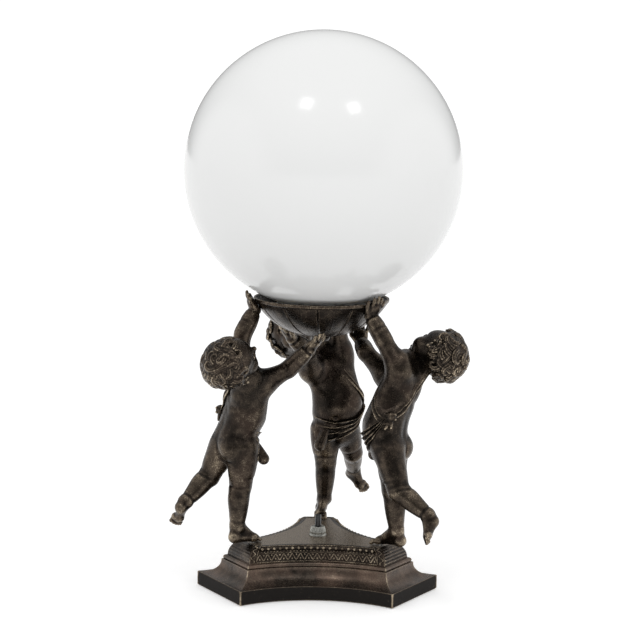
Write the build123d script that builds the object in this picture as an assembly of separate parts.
from build123d import *
import math
import os

# Figural table lamp. Three standing cherubs on a three-sided moulded base hold a leaf bowl,
# and a blown opal globe stands in the bowl. Millimetres, +Z up. The origin is the middle of
# the felt's underside, where the lamp rests. Each figure is laid out in its own frame:
# "out" away from the lamp's axis, "side" to the figure's right, "up" above the plateau.

# ---- base ----
base_side_chord = 136.0        # straight distance between the two ends of a hollow side
base_corner_face = 86.0        # width of a cut-off corner at the foot
base_side_bow = 23.5           # how far a side curves in
felt_thickness = 2.5
felt_proud = 0.5               # how far the felt stands below the casting
felt_inset = 3.0
felt_clearance = 0.2
fascia_height = 13.5           # top of the plain upright band at the foot
cove_height = 12.9
cove_depth = 15.2
cove_lip = 0.8                 # small ledge above the fascia
fillet_height = 1.4            # upright band above the cove
groove_depth = 1.8
bead_band_height = 3.7         # torus band under the ovolo
bead_band_proud = 0.9
ovolo_height = 14.0
ovolo_depth = 10.0
base_wall = 4.0
base_foot_wall = 6.0
moulding_steps = 5

# ---- figures ----
carry_height = 223.5           # plateau to the bowl's rim
limb_girth = 1.0               # factor on the limbs' radii
head_height = 49.0
head_width = 44.0
head_depth = 50.0
curl_count = 13
curl_radius = 8.6
strap_width = 4.5
strap_thickness = 1.5
loincloth_width = 13.0
loincloth_thickness = 1.9
fold_radius = 3.4              # of the loincloth's loose end
figure_azimuths = {"left": -150.0, "right": -30.0, "back": 90.0}
seat_gap = 0.2                 # between a hand and the bowl
foot_screw_radius = 2.0
foot_screw_setback = 4.5       # from the plateau's corner edge to the screw
foot_middle = -2.0             # how far the foot's middle lies to the figure's left
foot_screw_depth = 7.0         # into the sole
foot_washer_radius = 4.4
foot_washer_thickness = 0.8
foot_screw_head_radius = 3.4
foot_screw_head_height = 2.4
screw_clearance = 0.25

# ---- bowl ----
bowl_rim_radius = 62.3
bowl_depth = 35.0
bowl_bow = 6.9                 # how far the wall bulges from the straight line rim to hub
bowl_hub_radius = 13.0
bowl_wall = 2.2
bowl_lip_height = 2.6
bowl_petals = 12
petal_groove_width = 1.0
petal_groove_depth = 0.9
petal_phase = -3.0             # degrees from the front
hand_screw_radius = 1.4
hand_screw_head_radius = 2.7
hand_screw_head_height = 1.5
hand_screw_length = 8.5
hand_screw_drop = 5.5          # below the rim
hand_azimuth = -13.5           # of the raised hand, from its figure
lead_offset = 5.2              # from the hand screw along the rim

# ---- globe and its seat ----
globe_diameter = 254.0
globe_wall = 3.0
globe_neck_radius = 41.0
globe_neck_length = 12.0
neck_seat_gap = 0.3
gallery_wall = 1.2
gallery_play = 1.1             # between the neck and the gallery's wall
gallery_height = 7.5
nipple_radius = 5.0
nipple_bore = 3.6
thread_clearance = 0.1
spacer_radius = 8.0
locknut_across_flats = 15.0
locknut_thickness = 3.0
hub_nut_radius = 8.5
hub_nut_height = 6.0
lead_radius = 1.2
lead_clearance = 0.3

# ---- lampholder and bulb ----
holder_cap_radius = 18.5
holder_cap_height = 13.0
holder_shell_radius = 17.0
holder_shell_height = 33.0
holder_wall = 0.8
liner_wall = 1.0
liner_gap = 0.2
screw_shell_radius = 13.9
screw_shell_wall = 0.5
screw_shell_height = 24.0
contact_radius = 4.0
contact_height = 2.0
bulb_cap_radius = 13.0
bulb_cap_height = 21.0
bulb_cap_wall = 0.6
bulb_collar_height = 4.5
bulb_tip_radius = 4.6
bulb_tip_height = 1.6
bulb_radius = 30.0
bulb_length = 84.0             # glass above the cap
bulb_glass_wall = 1.2
bulb_gap = 0.3

# ---- switch ----
switch_bushing_radius = 5.0
button_radius = 2.8
button_height = 11.0           # above the nut
button_running_gap = 0.06
button_flange_radius = 4.2
button_flange_height = 1.5
button_travel = 3.0
switch_nut_radius = 8.0
switch_nut_height = 9.0
switch_nut_flutes = 18
switch_flute_radius = 0.75
switch_locknut_across_flats = 14.0
switch_locknut_thickness = 2.5
switch_body_width = 20.0
switch_body_depth = 16.0
switch_body_height = 22.0
switch_well_radius = 5.0
switch_well_floor = 5.0
spring_wire = 0.35
spring_turns = 5
spring_end_gap = 0.15

# ---- cord inlet ----
inlet_azimuth = 30.0
inlet_bore = 3.3
inlet_wall = 1.0
inlet_flange = 1.4
inlet_flange_thickness = 1.5
inlet_height = 7.6
inlet_depth = 9.0
inlet_clearance = 0.1

# ---- levels that follow from the sizes above ----
cove_top = fascia_height + cove_height
fillet_top = cove_top + fillet_height
band_bottom = fillet_top + 0.8
band_top = band_bottom + bead_band_height - 0.8
plateau = band_top + ovolo_height
cove_inset = cove_lip + cove_depth
ovolo_inset = cove_inset + groove_depth + bead_band_proud + 2.3
plateau_inset = ovolo_inset + ovolo_depth
rim_height = plateau + carry_height
hub_height = rim_height - bowl_depth
hub_floor = hub_height + bowl_wall
side_apothem = (base_side_chord + 2 * base_corner_face) / (2 * math.sqrt(3))
corner_reach = 2 * side_apothem - base_corner_face * math.sqrt(3) / 2
side_arc_radius = (base_side_chord**2 / 4 + base_side_bow**2) / (2 * base_side_bow)
side_arc_centre = side_apothem - base_side_bow + side_arc_radius
plateau_corner = corner_reach - plateau_inset
globe_radius = globe_diameter / 2
neck_drop = math.sqrt(globe_radius**2 - globe_neck_radius**2)
globe_seat = rim_height - 15.3
gallery_floor = globe_seat - neck_seat_gap - gallery_wall
globe_centre = globe_seat + globe_neck_length + neck_drop
holder_base = gallery_floor + gallery_wall
foot_screw_out = plateau_corner - foot_screw_setback


def turned(points, about=Axis.Z):
    """Solid turned from a closed outline of (radius, height) points."""
    outline = Polyline([(r, 0, z) for r, z in points], close=True)
    return revolve(make_face(outline), about, 360)


def tube(outer, inner, low, high):
    """Plain ring between two heights."""
    return turned([(inner, low), (outer, low), (outer, high), (inner, high)])


def spin(shape, azimuth):
    """Turn a shape about the lamp's axis."""
    return Rot(0, 0, azimuth) * shape


# ------------------------------------------------------------------ base
def side_corner(inset):
    """Right end of the front side's arc, for the outline moved in by inset."""
    reach = corner_reach - inset
    radius = side_arc_radius + inset
    a = 4 / 3
    b = 2 * side_arc_centre + reach / 0.75
    c = reach**2 / 0.75 + side_arc_centre**2 - radius**2
    y = (-b + math.sqrt(b * b - 4 * a * c)) / (2 * a)
    return (reach + y / 2) / math.cos(math.pi / 6), y


def base_outline(inset, height):
    """Three hollow sides and three cut-off corners, moved in square to every edge."""
    x, y = side_corner(inset)
    middle = -side_arc_centre + side_arc_radius + inset
    edges = []
    for turn in (0, 120, 240):
        arc = ThreePointArc((-x, y), (0, middle), (x, y))
        far = Vector(-x, y).rotate(Axis.Z, 120)
        edges.append(Rot(0, 0, turn) * arc)
        edges.append(Rot(0, 0, turn) * Line((x, y), (far.X, far.Y)))
    return Pos(0, 0, height) * make_face(edges)


def base_levels():
    """(inset, height) of the moulding's rings from the foot to the plateau."""
    levels = [(0, felt_proud), (0, fascia_height)]
    for i in range(moulding_steps + 1):
        t = math.pi / 2 * i / moulding_steps
        levels.append((cove_lip + cove_depth * math.sin(t), cove_top - cove_height * math.cos(t) + 0.01))
    levels.append((cove_inset, fillet_top))
    levels.append((cove_inset + groove_depth, fillet_top + 0.05))
    levels.append((cove_inset + groove_depth, band_bottom))
    for i in range(moulding_steps + 1):
        t = math.pi * i / moulding_steps
        levels.append((cove_inset + groove_depth - bead_band_proud * math.sin(t) + 2.2 * i / moulding_steps,
                       band_bottom + 0.02 + (band_top - band_bottom - 0.04) * (1 - math.cos(t)) / 2))
    for i in range(moulding_steps + 2):
        t = math.pi / 2 * i / (moulding_steps + 1)
        levels.append((plateau_inset - ovolo_depth * math.cos(t), band_top + ovolo_height * math.sin(t)))
    return levels


def base_prism(inset, low, high):
    return extrude(base_outline(inset, low), high - low)


def base_casting():
    body = loft([base_outline(inset, z) for inset, z in base_levels()], ruled=True)
    body -= base_prism(felt_inset - felt_clearance, 0, felt_thickness)
    body -= base_prism(base_foot_wall, felt_thickness, fascia_height - base_wall)
    body -= base_prism(cove_inset + base_wall, felt_thickness, cove_top - base_wall)
    body -= base_prism(plateau_inset - 1.0, felt_thickness, plateau - base_wall)
    body -= Cylinder(switch_bushing_radius + thread_clearance, 3 * plateau)
    for azimuth in figure_azimuths.values():
        hole = Cylinder(foot_screw_radius + screw_clearance, 3 * plateau)
        body -= spin(Pos(foot_screw_out, foot_middle, 0) * hole, azimuth)
    lead_hole = Cylinder(lead_radius + lead_clearance, 2 * base_wall)
    body -= Pos(*foot_lead_place(), plateau) * lead_hole
    body -= inlet_frame() * Pos(0, 0, -inlet_depth / 2) * Cylinder(
        inlet_bore + inlet_wall + inlet_clearance, inlet_depth + 4)
    return body


def base_felt():
    return base_prism(felt_inset, 0, felt_thickness)


def inlet_frame():
    """Plane on the hollow side's middle, its Z pointing out of the base."""
    reach = side_apothem - base_side_bow
    angle = math.radians(inlet_azimuth)
    out = Vector(math.cos(angle), math.sin(angle), 0)
    return Plane(origin=out * reach + Vector(0, 0, inlet_height), z_dir=out)


def cord_bushing():
    shank = Pos(0, 0, -inlet_depth / 2) * Cylinder(inlet_bore + inlet_wall, inlet_depth)
    rim = Pos(0, 0, inlet_flange_thickness / 2 + 0.15) * Cylinder(
        inlet_bore + inlet_wall + inlet_flange, inlet_flange_thickness)
    rim = fillet(rim.edges().sort_by(Axis.Z)[-1], 0.6)
    link = Pos(0, 0, 0.1) * Cylinder(inlet_bore + inlet_wall, 0.4)
    hole = Cylinder(inlet_bore, 4 * inlet_depth)
    return inlet_frame() * (shank + rim + link - hole)


# ------------------------------------------------------------------ figures
STANCE = {
    # joint: (out from the line plateau corner to rim, side, up, share of the figure's rise,
    #         lean to the lamp's right), for a carry height of 223.5
    "hip_right": (9.2, -4.3, 90, 1, 0.7),
    "hip_left": (16.6, -24, 91.6, 1, 0),
    "knee_right": (10.4, -5.2, 54, 0, 1),
    "ankle_right": (12.5, -4.2, 17, 0, 1.1),
    "heel_right": (16.0, -2, 6.6, 0, 0.6),
    "ball_right": (-6.5, -2, 4.6, 0, 0),
    "knee_left": (29.8, -31, 59.5, 0, 1.3),
    "ankle_left": (55.6, -29.9, 39.3, 0.4, 3.8),
    "heel_left": (61.1, -28, 34.4, 0.4, 3.0),
    "ball_left": (59.4, -38.6, 21.8, 0.4, 3.7),
    "groin": (12.5, -14.5, 80, 1, 0),
    "hips": (13.0, -14.2, 91.5, 1, 0),
    "waist": (10.3, -15.5, 103, 1, -0.4),
    "belly": (8.4, -14.2, 114, 1, 2.3),
    "ribs": (10.4, -11.3, 127, 1, 4.6),
    "breast": (13.7, -6, 141, 1, 5),
    "collar": (16.1, -1.2, 152, 1, 5),
    "nape": (20.5, 5.5, 158.5, 1, 5),
    "neck": (22.1, 9.4, 158, 1, 5),
    "head": (42.9, 27.5, 174.3, 0.4, 0),
    "shoulder_right": (0.9, 9, 150, 1, 0),
    "elbow_right": (-23.8, 13, 168, 0, 0),
    "wrist_right": (-37.0, 27, 181, 0, 0),
    "fingers_right": (-43.4, 39, 195.5, 0, 0),
    "shoulder_left": (20.5, -14.5, 160, 1, 5),
    "elbow_left": (9.9, -14.2, 192, 0, 0),
    "wrist_left": (-2.0, -16, 213, 0, 0),
    "fingers_left": (8.2, -14, 230.0, 0, 0),
}
stance_height = 223.5
RISE = {"left": -1.0, "right": 5.0, "back": -5.0}        # trunk raised or settled by the pose
ELBOW = {"left": -7.0, "right": 6.0, "back": 0.0}        # lower arm carried lower or higher
SECTIONS = (
    # level, half depth, half width, turn of the section in degrees
    ("groin", 14.5, 18, 0), ("hips", 18.8, 22.5, 0), ("waist", 20, 24, 0), ("belly", 20.5, 25, 0),
    ("ribs", 20, 24.5, -6), ("breast", 18, 22.5, -17), ("collar", 13.5, 19, -28), ("nape", 7, 8, -28),
)


def pose(name):
    """The figure's joints in its own frame, feet on the plateau and hands at the bowl."""
    turn = math.radians(figure_azimuths[name])
    joints = {}
    for joint, (out, side, up, rise, lean) in STANCE.items():
        up += rise * RISE[name]
        if joint == "elbow_right":
            up += ELBOW[name]
        level = up / stance_height
        line = (1 - level) * plateau_corner + level * bowl_rim_radius
        joints[joint] = Vector(line + out + lean * math.cos(turn), side - lean * math.sin(turn),
                               plateau + level * carry_height)
    return joints


def across(direction):
    """A direction square to the one given."""
    guide = Vector(0, 0, 1) if abs(direction.Z) < 0.9 else Vector(1, 0, 0)
    return direction.cross(guide).normalized()


def limb(start, end, start_radius, end_radius, middle_radius=None):
    """Round-ended limb turned about the line between two joints, swelling in the middle."""
    a = start_radius * limb_girth
    b = end_radius * limb_girth
    m = (middle_radius * limb_girth) if middle_radius else (a + b) / 2
    axis = end - start
    length = axis.length
    half = math.sqrt(0.5)
    outline = [
        ThreePointArc((-a, 0), (-a * half, a * half), (0, a)),
        Spline([(0, a), (length / 2, m), (length, b)], tangents=[(1, 0), (1, 0)]),
        ThreePointArc((length, b), (length + b * half, b * half), (length + b, 0)),
        Line((length + b, 0), (-a, 0)),
    ]
    body = revolve(make_face(outline), Axis.X, 360)
    return Plane(origin=start, x_dir=axis.normalized(), z_dir=across(axis.normalized())) * body


def ball(centre, radius):
    return Pos(*centre) * Sphere(radius)


def joined(parts):
    """Fuse a list of overlapping solids one after another."""
    body = parts[0]
    for part in parts[1:]:
        body = body.fuse(part)
    return body


def oval(centre, along, upward, half_along, half_up, half_across):
    """Ellipsoid with its long axis along one direction."""
    frame = Plane(origin=centre, x_dir=along, z_dir=along.cross(upward).normalized())
    return frame * scale(Sphere(1), by=(half_along, half_up, half_across))


def trunk(joints, swell=0.0):
    """Trunk lofted through ovals from the groin to the nape."""
    rings = []
    for level, depth, width, turn in SECTIONS:
        angle = math.radians(turn)
        frame = Plane(origin=joints[level], x_dir=(math.cos(angle), math.sin(angle), 0), z_dir=(0, 0, 1))
        rings.append(frame * Ellipse(depth + swell, width + swell))
    return loft(rings)


def fingers(root, lengths, radii, pitch, fan):
    """Flat outline of a row of fingers or toes, growing along X from their root line."""
    outline = None
    for i, (length, radius) in enumerate(zip(lengths, radii)):
        row = (i - (len(lengths) - 1) / 2) * pitch
        slot = Pos(root, row, 0) * Rot(0, 0, fan * row / pitch) * Pos(length / 2, 0, 0) * SlotOverall(
            length + 2 * radius, 2 * radius)
        outline = outline + slot if outline else slot
    return outline


def hand(wrist, tips, palm, thumb_side):
    """Palm, four spread fingers and a thumb; palm is the way the palm faces."""
    along = (tips - wrist).normalized()
    reach = (tips - wrist).length
    outline = fingers(reach * 0.45, [reach * part for part in (0.34, 0.44, 0.48, 0.42)], (2.0, 2.1, 2.2, 2.1), 4.1, 6)
    outline += Pos(reach * 0.3, 0, 0) * RectangleRounded(reach * 0.66, 15.0, 4.0)
    outline += Pos(reach * 0.12, 4.0, 0) * Rot(0, 0, 38) * Pos(reach * 0.25, 0, 0) * SlotOverall(reach * 0.56, 5.0)
    slab = extrude(outline, 2.1, both=True)
    if thumb_side < 0:
        slab = mirror(slab, Plane.XZ)
    face = (palm - along * palm.dot(along)).normalized()
    return Plane(origin=wrist, x_dir=along, z_dir=face) * slab


def foot(ankle, heel, front, big_toe_side):
    """Heel, instep and forefoot with five toes."""
    along = (front - heel).normalized()
    up = ankle - heel
    up = (up - along * up.dot(along)).normalized()
    outline = fingers(-2.0, (5.6, 6.8, 7.8, 8.6, 8.0), (1.6, 1.7, 1.8, 1.9, 2.6), 3.1, 3)
    outline += Pos(-1.5, 0, 0) * RectangleRounded(8.0, 16.0, 3.4)
    slab = extrude(outline, 2.2, both=True)
    if big_toe_side < 0:
        slab = mirror(slab, Plane.XZ)
    toes = Plane(origin=front - up * 2.2 - along, x_dir=along, z_dir=up) * slab
    return joined([limb(heel, front, 6.8, 4.6, 5.8), limb(ankle, front - along * 2, 6.6, 4.6, 5.6), toes])


def head_axes():
    """Crown and face directions of the thrown-back head, in the figure's frame."""
    crown = Vector(0.63, 0.66, 0.41).normalized()
    face = Vector(-0.70, 0.30, 0.60)
    face = (face - crown * face.dot(crown)).normalized()
    return crown, face, face.cross(crown).normalized()


def head(joints):
    """Rounded skull with a calm, plain child's face, ears, and a cap of curls."""
    centre = joints["head"]
    crown, face, ear = head_axes()
    tall, wide, deep = head_height / 2, head_width / 2, head_depth / 2

    def at(forward, upward, sideways):
        return centre + face * forward * deep + crown * upward * tall + ear * sideways * wide

    parts = [oval(at(-0.02, 0.06, 0), face, crown, deep * 0.95, tall * 0.94, wide * 0.95)]
    parts.append(oval(at(0.42, -0.42, 0), face, crown, deep * 0.46, tall * 0.47, wide * 0.66))
    parts.append(limb(at(0.86, 0.0, 0), at(0.96, -0.18, 0), 1.6, 2.6))
    golden = math.pi * (3 - math.sqrt(5))
    for i in range(curl_count):
        level = 1 - 1.5 * (i + 0.5) / curl_count
        ring = math.sqrt(1 - level * level)
        forward, sideways = ring * math.cos(golden * i + 2.0), ring * math.sin(golden * i + 2.0)
        if forward < 0.55 and level > -0.5:
            parts.append(ball(at(forward * 0.72 - 0.06, level * 0.74 + 0.08, sideways * 0.76),
                              curl_radius + 0.9 * (i % 3)))
    return joined(parts)


def band(joints, through, normal, width, swell):
    """Strip of cloth round the trunk: a swollen trunk cut by a slab."""
    slab = Plane(origin=through, z_dir=normal) * Box(carry_height, carry_height, width)
    return trunk(joints, swell) & slab


def drapery(joints):
    """Strap from the right shoulder to a knot on the left flank, and from there a loincloth
    under the belly whose loose end hangs off the right hip."""
    knot = joints["belly"] + Vector(17.0, -12.5, 1.0)
    strap = band(joints, knot, Vector(-0.415, 0.669, -0.617), strap_width, strap_thickness)
    cloth = band(joints, joints["hips"] + Vector(0, 0, 6.0), Vector(0, 0.545, 0.838), loincloth_width,
                 loincloth_thickness)
    front = joints["hips"] + Vector(9 - carry_height / 2, 0, 0)
    cloth &= Pos(*front) * Box(carry_height, carry_height, carry_height)
    top, end = joints["hips"] + Vector(-17, 10, -1), joints["hips"] + Vector(-25, 17, -21)
    fall = [limb(top + Vector(row, row, 0), end + Vector(2 * row, row, -row), 3.0, fold_radius, fold_radius + 0.3)
            for row in (-2.5, 2.5)]
    return [strap, cloth, oval(knot, Vector(0, 0, 1), Vector(1, 0, 0), 5.0, 4.2, 4.8)] + fall


def putto(name):
    """One cherub cast in a piece: it stands on its right foot and lifts both hands."""
    j = pose(name)
    seat = (j["hip_right"] + j["hip_left"]) * 0.5
    inward = Vector(-1, 0.25, 0).normalized()
    upward = Vector(0.15, -0.55, 0.8).normalized()
    parts = [
        limb(j["hip_right"], j["knee_right"], 14.2, 10.0, 13.4),
        limb(j["knee_right"], j["ankle_right"], 9.6, 6.8, 9.6),
        limb(j["hip_left"], j["knee_left"], 13.4, 9.6, 12.2),
        limb(j["knee_left"], j["ankle_left"], 9.4, 6.4, 8.8),
        limb(j["shoulder_right"], j["elbow_right"], 9.8, 7.6, 8.9),
        limb(j["elbow_right"], j["wrist_right"], 7.9, 5.3, 7.5),
        limb(j["shoulder_left"], j["elbow_left"], 10.2, 7.8, 9.2),
        limb(j["elbow_left"], j["wrist_left"], 7.9, 5.4, 7.4),
        limb(j["neck"], j["head"], 10.0, 8.6, 9.0),
        ball(seat + Vector(6, 9, 0), 12.6),
        ball(seat + Vector(6, -10, 0), 12.6),
    ]
    body = joined([trunk(j)] + parts + drapery(j))
    body = body.fuse(foot(j["ankle_right"], j["heel_right"], j["ball_right"], 1))
    body = body.fuse(foot(j["ankle_left"], j["heel_left"], j["ball_left"], -1))
    body = body.fuse(hand(j["wrist_left"], j["fingers_left"], inward, 1))
    body = body.fuse(hand(j["wrist_right"], j["fingers_right"], upward, -1))
    body = body.fuse(head(j))
    body -= Pos(plateau_corner, 0, plateau / 2) * Box(2 * plateau_corner, 2 * plateau_corner, plateau)
    body -= bowl_envelope(seat_gap)
    body -= Pos(foot_screw_out, foot_middle, plateau) * Cylinder(foot_screw_radius, 2 * foot_screw_depth)
    body -= hand_screw_frame(0) * Pos(0, 0, hand_screw_length / 2) * Cylinder(
        hand_screw_radius + 0.02, hand_screw_length + 0.2)
    return spin(body, figure_azimuths[name])


def foot_screws():
    """Three screws from below the plateau into the soles, as one group."""
    head_top = plateau - base_wall - foot_washer_thickness
    shank_top = plateau + foot_screw_depth - 0.3
    screws = []
    for azimuth in figure_azimuths.values():
        screw = Pos(0, 0, head_top - foot_screw_head_height / 2) * Cylinder(
            foot_screw_head_radius, foot_screw_head_height)
        screw += Pos(0, 0, (head_top + shank_top) / 2 - 0.5) * Cylinder(
            foot_screw_radius - 0.03, shank_top - head_top + 1)
        slot = Pos(0, 0, head_top - foot_screw_head_height) * Box(2 * foot_screw_head_radius + 1, 0.9, 1.6)
        screws.append(spin(Pos(foot_screw_out, foot_middle, 0) * (screw - slot), azimuth))
    return Compound(children=screws)


def foot_washers():
    top = plateau - base_wall
    ring = tube(foot_washer_radius, foot_screw_radius + screw_clearance, top - foot_washer_thickness, top)
    place = Pos(foot_screw_out, foot_middle, 0)
    return Compound(children=[spin(place * ring, azimuth) for azimuth in figure_azimuths.values()])


def foot_lead_place():
    """Where the leads rise through the plateau, under the back figure's toes."""
    spot = Vector(foot_screw_out - 9, foot_middle, 0).rotate(Axis.Z, figure_azimuths["back"])
    return spot.X, spot.Y


# ------------------------------------------------------------------ bowl
def bowl_arc(inset):
    """Meridian from the hub to the lip as a single bowed arc, moved in square to itself by inset."""
    rim = Vector(bowl_rim_radius - 0.6, rim_height - bowl_lip_height)
    hub = Vector(bowl_hub_radius, hub_height)
    chord = rim - hub
    radius = (chord.length**2 / 4 + bowl_bow**2) / (2 * bowl_bow)
    centre = (rim + hub) * 0.5 + Vector(chord.Y, -chord.X).normalized() * (bowl_bow - radius)
    radius -= inset

    def on_arc(height):
        return Vector(centre.X + math.sqrt(radius**2 - (height - centre.Y)**2), height)

    low, high = on_arc(hub.Y + inset), on_arc(rim.Y)
    middle = centre + ((low + high) * 0.5 - centre).normalized() * radius
    return ThreePointArc((low.X, 0, low.Y), (middle.X, 0, middle.Y), (high.X, 0, high.Y)), low, high


def bowl_envelope(gap):
    """Everything inside the bowl's outer face, grown by a gap."""
    arc, hub, rim = bowl_arc(-gap)
    lines = Polyline([(rim.X, 0, rim.Y), (0, 0, rim.Y), (0, 0, hub.Y), (hub.X, 0, hub.Y)])
    lip = Pos(0, 0, rim_height - bowl_lip_height / 2) * Cylinder(bowl_rim_radius + gap, bowl_lip_height + 2 * gap)
    return revolve(make_face([arc, lines]), Axis.Z, 360) + lip


def bowl_radius(height):
    """Outer radius of the bowl at a height."""
    arc, hub, rim = bowl_arc(0)
    spots = [arc @ (i / 40) for i in range(41)]
    for low, high in zip(spots, spots[1:]):
        if low.Z <= height <= high.Z:
            part = (height - low.Z) / (high.Z - low.Z)
            return low.X + part * (high.X - low.X)
    return bowl_rim_radius


def bowl():
    outer, hub, rim = bowl_arc(0)
    inner, hub_in, rim_in = bowl_arc(bowl_wall)
    bore = nipple_radius + thread_clearance
    foot_line = Polyline([(hub.X, 0, hub.Y), (bore, 0, hub.Y), (bore, 0, hub_in.Y), (hub_in.X, 0, hub_in.Y)])
    lip_in = bowl_rim_radius - bowl_wall
    lip_line = Polyline([(rim.X, 0, rim.Y), (bowl_rim_radius, 0, rim.Y), (bowl_rim_radius, 0, rim_height),
                         (lip_in, 0, rim_height), (rim_in.X, 0, rim_in.Y)])
    body = revolve(make_face([outer, inner, foot_line, lip_line]), Axis.Z, 360)
    groove_floor, deep_hub, deep_rim = bowl_arc(petal_groove_depth)
    beyond, far_hub, far_rim = bowl_arc(-2.0)
    ends = [Line((deep_hub.X, 0, deep_hub.Y), (far_hub.X, 0, far_hub.Y)),
            Line((deep_rim.X, 0, deep_rim.Y), (far_rim.X, 0, far_rim.Y))]
    cutter = extrude(make_face([groove_floor, beyond] + ends), petal_groove_width / 2, both=True)
    for i in range(bowl_petals):
        body -= spin(cutter, -90 + petal_phase + i * 360 / bowl_petals)
    for azimuth in figure_azimuths.values():
        hole = Cylinder(hand_screw_radius + screw_clearance, 3 * hand_screw_length)
        body -= hand_screw_frame(azimuth) * hole
        body -= hand_screw_frame(azimuth) * Pos(0, 0, -5) * Cylinder(hand_screw_head_radius + 0.2, 10)
    body -= hand_lead_frame() * Cylinder(lead_radius + lead_clearance, 20)
    return body


def hand_screw_frame(azimuth):
    """Plane at the screw head's seat inside the lip, its Z pointing out along the screw."""
    angle = math.radians(azimuth + hand_azimuth)
    out = Vector(math.cos(angle), math.sin(angle), 0)
    height = rim_height - hand_screw_drop
    seat = bowl_radius(height) - bowl_wall + 0.4
    return Plane(origin=out * seat + Vector(0, 0, height), z_dir=out)


def hand_lead_frame():
    """Plane where the leads leave the back figure's palm into the bowl, Z pointing out."""
    turn = figure_azimuths["back"] + hand_azimuth + math.degrees(lead_offset / bowl_rim_radius)
    angle = math.radians(turn)
    out = Vector(math.cos(angle), math.sin(angle), 0)
    height = rim_height - hand_screw_drop
    return Plane(origin=out * bowl_radius(height) + Vector(0, 0, height), z_dir=out)


def hand_screws():
    """Three screws from inside the bowl into the raised palms, as one group."""
    screws = []
    for azimuth in figure_azimuths.values():
        frame = hand_screw_frame(azimuth)
        screw = Pos(0, 0, -hand_screw_head_height / 2) * Cylinder(hand_screw_head_radius, hand_screw_head_height)
        screw += Pos(0, 0, hand_screw_length / 2 - 0.5) * Cylinder(hand_screw_radius, hand_screw_length)
        slot = Pos(0, 0, -hand_screw_head_height) * Box(2 * hand_screw_head_radius + 1, 0.7, 1.0)
        screws.append(frame * (screw - slot))
    return Compound(children=screws)


def hub_nut():
    """Turned nut under the hub, domed at its foot."""
    top = hub_height
    dome = ThreePointArc((hub_nut_radius, 0, top - 2), (hub_nut_radius * 0.75, 0, top - hub_nut_height + 1),
                         (nipple_radius * 0.4, 0, top - hub_nut_height))
    bore = nipple_radius + thread_clearance
    rest = Polyline([(nipple_radius * 0.4, 0, top - hub_nut_height), (0, 0, top - hub_nut_height),
                     (0, 0, top - hub_nut_height + 1.6), (bore, 0, top - hub_nut_height + 1.6),
                     (bore, 0, top), (hub_nut_radius, 0, top), (hub_nut_radius, 0, top - 2)])
    return revolve(make_face([dome, rest]), Axis.Z, 360)


def nipple():
    low = hub_height - hub_nut_height + 2.0
    return tube(nipple_radius, nipple_bore, low, holder_base + 6.0)


def gallery_spacer():
    body = tube(spacer_radius, nipple_radius + thread_clearance, hub_floor, gallery_floor - locknut_thickness)
    return chamfer(body.edges().filter_by(GeomType.CIRCLE).group_by(SortBy.RADIUS)[-1], 0.6)


def hexagon_nut(across_flats, bore, low, thickness):
    body = extrude(Pos(0, 0, low) * RegularPolygon(across_flats / math.sqrt(3), 6), thickness)
    return body - Pos(0, 0, low) * Cylinder(bore, 3 * thickness)


def gallery_nut():
    return hexagon_nut(locknut_across_flats, nipple_radius + thread_clearance,
                       gallery_floor - locknut_thickness, locknut_thickness)


def gallery():
    """Pressed cup that the globe's neck stands in, with a notch for the leads."""
    inside = globe_neck_radius + gallery_play
    outside = inside + gallery_wall
    bore = nipple_radius + thread_clearance
    top = gallery_floor + gallery_wall
    body = turned([(bore, gallery_floor), (outside, gallery_floor), (outside, gallery_floor + gallery_height),
                   (outside + 0.9, gallery_floor + gallery_height + 0.5),
                   (outside + 0.3, gallery_floor + gallery_height + 1.2),
                   (inside, gallery_floor + gallery_height + 0.3), (inside, top), (bore, top)])
    notch = Pos(outside, 0, gallery_floor) * Box(12, 5, 4 * gallery_height)
    turn = figure_azimuths["back"] + hand_azimuth + math.degrees(lead_offset / bowl_rim_radius)
    return body - spin(notch, turn)


# ------------------------------------------------------------------ lampholder and bulb
def holder_cap():
    r, h = holder_cap_radius, holder_cap_height
    z = holder_base
    arc = ThreePointArc((nipple_radius + 2.5, 0, z), (r * 0.8, 0, z + h * 0.22), (r, 0, z + h * 0.75))
    inner = ThreePointArc((r - holder_wall, 0, z + h * 0.75), (r * 0.8 - holder_wall, 0, z + h * 0.22 + holder_wall),
                          (nipple_radius + 2.5, 0, z + holder_wall))
    bore = nipple_radius + thread_clearance
    top = [Polyline([(r, 0, z + h * 0.75), (r, 0, z + h), (r - holder_wall, 0, z + h),
                     (r - holder_wall, 0, z + h * 0.75)])]
    low = [Polyline([(nipple_radius + 2.5, 0, z + holder_wall), (bore, 0, z + holder_wall), (bore, 0, z),
                     (nipple_radius + 2.5, 0, z)])]
    return revolve(make_face([arc, inner] + top + low), Axis.Z, 360)


shell_low = holder_base + holder_cap_height * 0.62
shell_top = shell_low + holder_shell_height
liner_radius = holder_shell_radius - holder_wall - liner_gap
liner_low = shell_low + 4.0
contact_seat = liner_low + 4.0
bulb_low = contact_seat + contact_height + bulb_gap
cap_low = bulb_low + bulb_tip_height
cap_top = cap_low + bulb_cap_height


def holder_shell():
    body = tube(holder_shell_radius, holder_shell_radius - holder_wall, shell_low, shell_top)
    roll = Pos(0, 0, shell_top) * Torus(holder_shell_radius - 0.2, 0.9)
    bead = Pos(0, 0, shell_low + holder_cap_height * 0.38 + 1.2) * Torus(holder_shell_radius, 0.8)
    void = Pos(0, 0, (shell_low + shell_top) / 2) * Cylinder(
        holder_shell_radius - holder_wall, 2 * holder_shell_height)
    return body + roll + bead - void


def holder_liner():
    """Insulating sleeve with a floor that carries the screw shell and contact."""
    r = liner_radius
    return turned([(0, liner_low), (r, liner_low), (r, shell_top - 1), (r - liner_wall, shell_top - 1),
                   (r - liner_wall, contact_seat), (0, contact_seat)])


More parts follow.
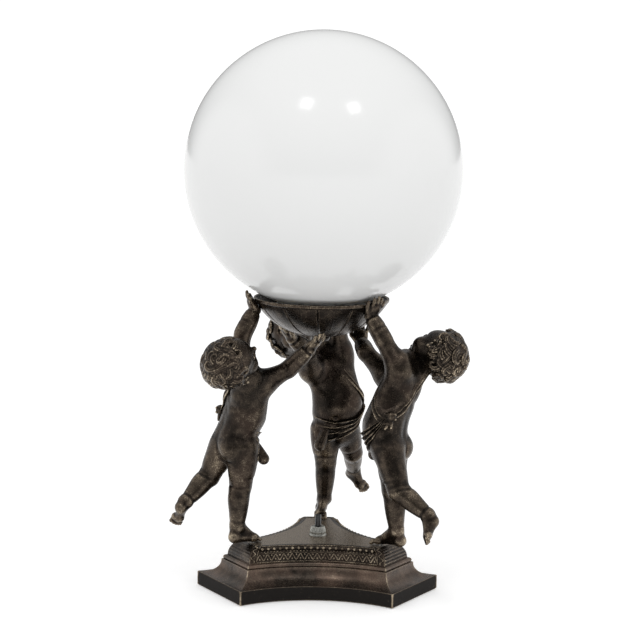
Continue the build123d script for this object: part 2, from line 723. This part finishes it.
def holder_screw_shell():
    low = contact_seat
    r = screw_shell_radius
    rings = 5
    pitch = (screw_shell_height - 2) / rings
    outline = [(r - screw_shell_wall, low), (r, low)]
    for i in range(rings):
        z = low + 1 + i * pitch
        outline += [(r, z), (r + 0.6, z + pitch / 2)]
    outline += [(r, low + screw_shell_height), (r - screw_shell_wall, low + screw_shell_height)]
    for i in reversed(range(rings)):
        z = low + 1 + i * pitch
        outline += [(r + 0.6 - screw_shell_wall, z + pitch / 2), (r - screw_shell_wall, z)]
    return turned(outline)


def holder_contact():
    return Pos(0, 0, contact_seat + contact_height / 2) * Cylinder(contact_radius, contact_height)


def bulb_cap():
    """Threaded metal cap: shallow rings stand for the rounded thread."""
    r = bulb_cap_radius
    rings = 5
    low = cap_low + 2.2
    pitch = (bulb_cap_height - 2.2 - bulb_collar_height) / rings
    outline = [(bulb_tip_radius + 1.5, cap_low), (r - 3.0, cap_low), (r - 0.9, low)]
    for i in range(rings):
        outline += [(r - 0.7, low + (i + 0.1) * pitch), (r, low + (i + 0.5) * pitch), (r - 0.7, low + (i + 0.9) * pitch)]
    outline += [(r, cap_top - bulb_collar_height), (r, cap_top), (r - bulb_cap_wall, cap_top),
                (r - bulb_cap_wall, cap_top - bulb_collar_height)]
    outline += [(r - 1.6, cap_top - bulb_collar_height - 1), (r - 1.6, low), (bulb_tip_radius + 1.5, cap_low + 1.4)]
    return turned(outline)


def bulb_insulator():
    return tube(bulb_tip_radius + 1.5, bulb_tip_radius - 1.2, cap_low, cap_low + 1.4)


def bulb_tip():
    r = bulb_tip_radius
    dome = ThreePointArc((0, 0, bulb_low), (r * 0.5, 0, bulb_low + 0.42), (r - 1.3, 0, cap_low))
    return revolve(make_face([dome, Polyline([(r - 1.3, 0, cap_low), (r - 1.3, 0, cap_low + 1.4),
                                              (0, 0, cap_low + 1.4), (0, 0, bulb_low)])]), Axis.Z, 360)


def bulb_glass():
    """Standard pear bulb: neck, tangent shoulder and ball."""
    neck = bulb_cap_radius - bulb_cap_wall - 0.05
    low = cap_top - bulb_collar_height
    centre = cap_top + bulb_length - bulb_radius

    def pear(inset):
        r = bulb_radius - inset
        start = math.radians(-42)
        round_end = ThreePointArc((r * math.cos(start), 0, centre + r * math.sin(start)), (r, 0, centre),
                             (0, 0, centre + r))
        shoulder = Spline([(neck - inset, 0, cap_top + 1), (r * math.cos(start), 0, centre + r * math.sin(start))],
                          tangents=[(0, 0, 1), (-math.sin(start), 0, math.cos(start))])
        return shoulder, round_end

    shoulder, round_end = pear(0)
    shoulder_in, round_in = pear(bulb_glass_wall)
    skirt = Polyline([(neck - bulb_glass_wall, 0, cap_top + 1), (neck - bulb_glass_wall, 0, low), (neck, 0, low),
                      (neck, 0, cap_top + 1)])
    top = Line((0, 0, centre + bulb_radius), (0, 0, centre + bulb_radius - bulb_glass_wall))
    return revolve(make_face([shoulder, round_end, top, round_in, shoulder_in, skirt]), Axis.Z, 360)


bulb_top = cap_top + bulb_length


# ------------------------------------------------------------------ globe
def globe():
    """Blown ball with a straight neck that stands in the gallery."""
    R, t = globe_radius, globe_wall
    inner_neck = globe_neck_radius - t
    inner_drop = math.sqrt((R - t)**2 - inner_neck**2)
    outer = ball_arc(R, globe_neck_radius, neck_drop)
    inner = ball_arc(R - t, inner_neck, inner_drop)
    neck = Polyline([(globe_neck_radius, 0, globe_centre - neck_drop), (globe_neck_radius, 0, globe_seat),
                     (inner_neck, 0, globe_seat), (inner_neck, 0, globe_centre - inner_drop)])
    top = Line((0, 0, globe_centre + R), (0, 0, globe_centre + R - t))
    return revolve(make_face([outer, top, inner, neck]), Axis.Z, 360)


def ball_arc(radius, start_radius, drop):
    """Arc of the ball from the neck to the crown."""
    low = math.atan2(-drop, start_radius)
    middle = (low + math.pi / 2) / 2
    return ThreePointArc((start_radius, 0, globe_centre - drop),
                         (radius * math.cos(middle), 0, globe_centre + radius * math.sin(middle)),
                         (0, 0, globe_centre + radius))


# ------------------------------------------------------------------ switch
nut_low = plateau
nut_top = plateau + switch_nut_height
locknut_top = plateau - base_wall
body_top = locknut_top - switch_locknut_thickness
body_low = body_top - switch_body_height
flange_top = body_top - 3.0
flange_low = flange_top - button_flange_height
well_low = body_low + switch_well_floor
button_top = nut_top + button_height


def switch_bushing():
    return tube(switch_bushing_radius, button_radius + button_running_gap, flange_top + 0.3, nut_top - 0.4)


def switch_nut():
    """Fluted collar that clamps the switch from above."""
    r, h, z = switch_nut_radius, switch_nut_height, nut_low
    bore = switch_bushing_radius + thread_clearance
    body = turned([(bore, z), (r, z), (r, z + 1.6), (r - 0.9, z + 2.4), (r - 0.5, z + 3.2), (r - 1.3, z + h - 1.8),
                   (r - 2.0, z + h), (bore, z + h)])
    cutter = Cylinder(switch_flute_radius, 2 * h)
    for i in range(switch_nut_flutes):
        body -= spin(Pos(r, 0, z + 2.4 + h) * cutter, i * 360 / switch_nut_flutes)
    return body


def switch_locknut():
    return hexagon_nut(switch_locknut_across_flats, switch_bushing_radius + thread_clearance,
                       body_top, switch_locknut_thickness)


def switch_body():
    middle = (body_low + body_top) / 2
    box = Pos(0, 0, middle) * Box(switch_body_width, switch_body_depth, switch_body_height)
    box = fillet(box.edges().filter_by(Axis.Z), 1.5)
    box -= Pos(0, 0, (well_low + flange_top + 0.3) / 2) * Cylinder(
        switch_well_radius, flange_top + 0.3 - well_low)
    box -= Pos(0, 0, body_top) * Cylinder(switch_bushing_radius + thread_clearance, 2 * (body_top - flange_top))
    return spin(box, inlet_azimuth)


def switch_button():
    stem = Pos(0, 0, (flange_low + button_top) / 2) * Cylinder(button_radius, button_top - flange_low)
    stem = fillet(stem.edges().filter_by(GeomType.CIRCLE).sort_by(Axis.Z)[-1], 0.9)
    return stem + Pos(0, 0, (flange_low + flange_top) / 2) * Cylinder(button_flange_radius, button_flange_height)


def switch_spring():
    """Coil between the well's floor and the button's flange."""
    height = flange_low - spring_end_gap - well_low - 2 * spring_wire
    radius = button_flange_radius - spring_wire - 0.2
    path = Helix(height / spring_turns, height, radius)
    start = path @ 0
    profile = Plane(origin=start, z_dir=path % 0) * Circle(spring_wire)
    return Pos(0, 0, well_low + spring_wire) * sweep(profile, path)


# ------------------------------------------------------------------ leads
def lead(points):
    """Insulated pair along straight runs joined by arcs as large as the runs allow."""
    spots = [Vector(*p) for p in points]
    radii = []
    for a, b, c in zip(spots, spots[1:], spots[2:]):
        turn = math.radians((b - a).get_angle(c - b))
        shorter = min((b - a).length, (c - b).length)
        radii.append(0.45 * shorter / math.tan(turn / 2))
    path = FilletPolyline(*spots, radius=radii)
    profile = Plane(origin=path @ 0, z_dir=path % 0) * Circle(lead_radius)
    return sweep(profile, path)


def polar(azimuth, radius, height):
    angle = math.radians(azimuth)
    return radius * math.cos(angle), radius * math.sin(angle), height


def base_leads():
    """Bushing to switch, and switch to the hole under the back figure's foot."""
    inner = side_apothem - base_side_bow - inlet_depth
    mid = (body_low + body_top) / 2
    face = switch_body_width / 2
    supply = lead([polar(inlet_azimuth, inner, inlet_height), polar(inlet_azimuth, inner - 16, inlet_height),
                   polar(inlet_azimuth, face + 11, mid), polar(inlet_azimuth, face, mid)])
    x, y = foot_lead_place()
    half = switch_body_depth / 2
    turn = inlet_azimuth + 90
    switched = lead([polar(turn, half, mid), polar(turn, half + 10, mid), (x - 3, y - 24, mid),
                     (x, y - 10, mid), (x, y, mid + 8), (x, y, plateau)])
    return Compound(children=[supply, switched])


def bowl_lead():
    """From the back figure's palm, through the gallery's notch, to the spacer."""
    frame = hand_lead_frame()
    azimuth = math.degrees(math.atan2(frame.origin.Y, frame.origin.X))
    start = frame.origin + frame.z_dir * seat_gap
    radius = math.hypot(start.X, start.Y)
    low = hub_floor + 6.5
    edge = globe_neck_radius + gallery_play + 2.2
    return lead([tuple(start), polar(azimuth, radius - 7, start.Z), polar(azimuth, edge + 1, gallery_floor + 1.5),
                 polar(azimuth, edge - 14, low + 1.2), polar(azimuth, spacer_radius + 9, low),
                 polar(azimuth, spacer_radius, low)])


# ------------------------------------------------------------------ write the pieces
NODES = {
    "base_casting": base_casting,
    "base_felt": base_felt,
    "cord_bushing": cord_bushing,
    "putto_left": lambda: putto("left"),
    "putto_right": lambda: putto("right"),
    "putto_back": lambda: putto("back"),
    "foot_screws": foot_screws,
    "foot_washers": foot_washers,
    "bowl": bowl,
    "hand_screws": hand_screws,
    "hub_nut": hub_nut,
    "nipple": nipple,
    "gallery_spacer": gallery_spacer,
    "gallery_nut": gallery_nut,
    "gallery": gallery,
    "holder_cap": holder_cap,
    "holder_shell": holder_shell,
    "holder_liner": holder_liner,
    "holder_screw_shell": holder_screw_shell,
    "holder_contact": holder_contact,
    "bulb_cap": bulb_cap,
    "bulb_insulator": bulb_insulator,
    "bulb_tip": bulb_tip,
    "bulb_glass": bulb_glass,
    "globe": globe,
    "switch_bushing": switch_bushing,
    "switch_nut": switch_nut,
    "switch_locknut": switch_locknut,
    "switch_body": switch_body,
    "switch_button": switch_button,
    "switch_spring": switch_spring,
    "base_leads": base_leads,
    "bowl_lead": bowl_lead,
}

os.makedirs("parts", exist_ok=True)
for node, make in NODES.items():
    export_step(make(), "parts/" + node + ".step")
    print(node, flush=True)
